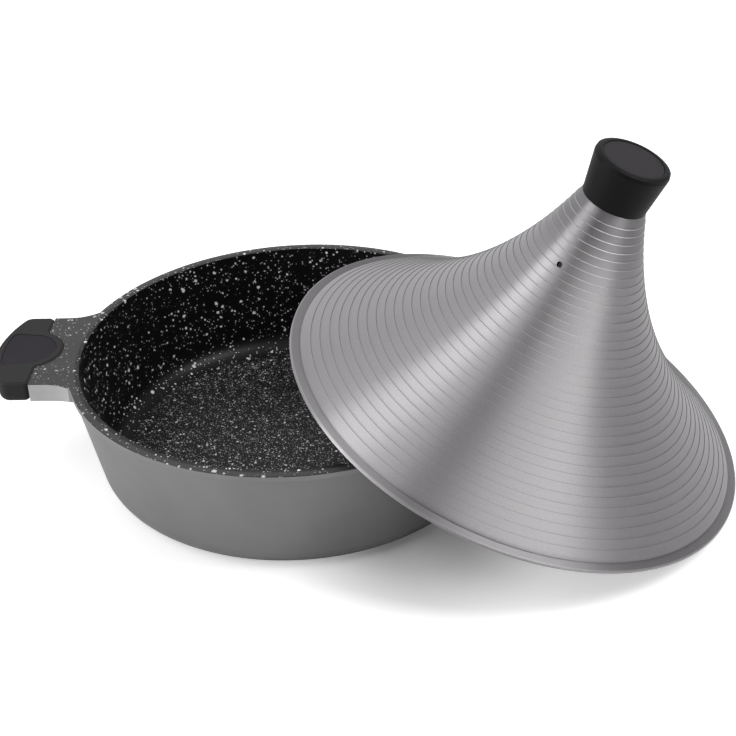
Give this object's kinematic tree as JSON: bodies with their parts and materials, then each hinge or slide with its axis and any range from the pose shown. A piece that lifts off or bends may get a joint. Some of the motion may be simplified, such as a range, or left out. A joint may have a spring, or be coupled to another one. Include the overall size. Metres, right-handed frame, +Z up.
{
  "type": "tagine",
  "caption": "Shallow round cooking pan with gripped side handles and a tall stepped conical lid with a knob, leaning open on the rim.",
  "frame": {"origin": "centre of the pan's underside, on the surface that it stands on", "axes": "+Z up, the two handles along X, the lid leaning towards +X"},
  "size_m": [0.4768, 0.3241, 0.2329],
  "materials": {
    "pan_coating": "satin grey enamel outside, black speckled non-stick inside",
    "base_steel": "brushed",
    "grip_rubber": "matt soft touch",
    "panel_rubber": "matt soft touch",
    "screw_steel": "plain",
    "lid_aluminium": "turned and brushed",
    "knob_plastic": "matt",
    "cap_plastic": "matt",
    "nut_brass": "plain"
  },
  "bodies": {
    "pan": {"pan_casting": "pan_coating", "induction_disc": "base_steel", "left_grip": "grip_rubber", "right_grip": "grip_rubber", "left_grip_panel": "panel_rubber", "right_grip_panel": "panel_rubber", "left_grip_screw": "screw_steel", "right_grip_screw": "screw_steel"},
    "lid": {"lid_shell": "lid_aluminium", "knob_body": "knob_plastic", "knob_cap": "cap_plastic", "knob_nut": "nut_brass", "knob_washer": "screw_steel", "knob_screw": "screw_steel"}
  },
  "joints": [
    {"name": "lid_lift", "type": "slide", "parent": "pan", "child": "lid", "axis": [0, 0, 1], "range_m": [0, 0.15]}
  ]
}
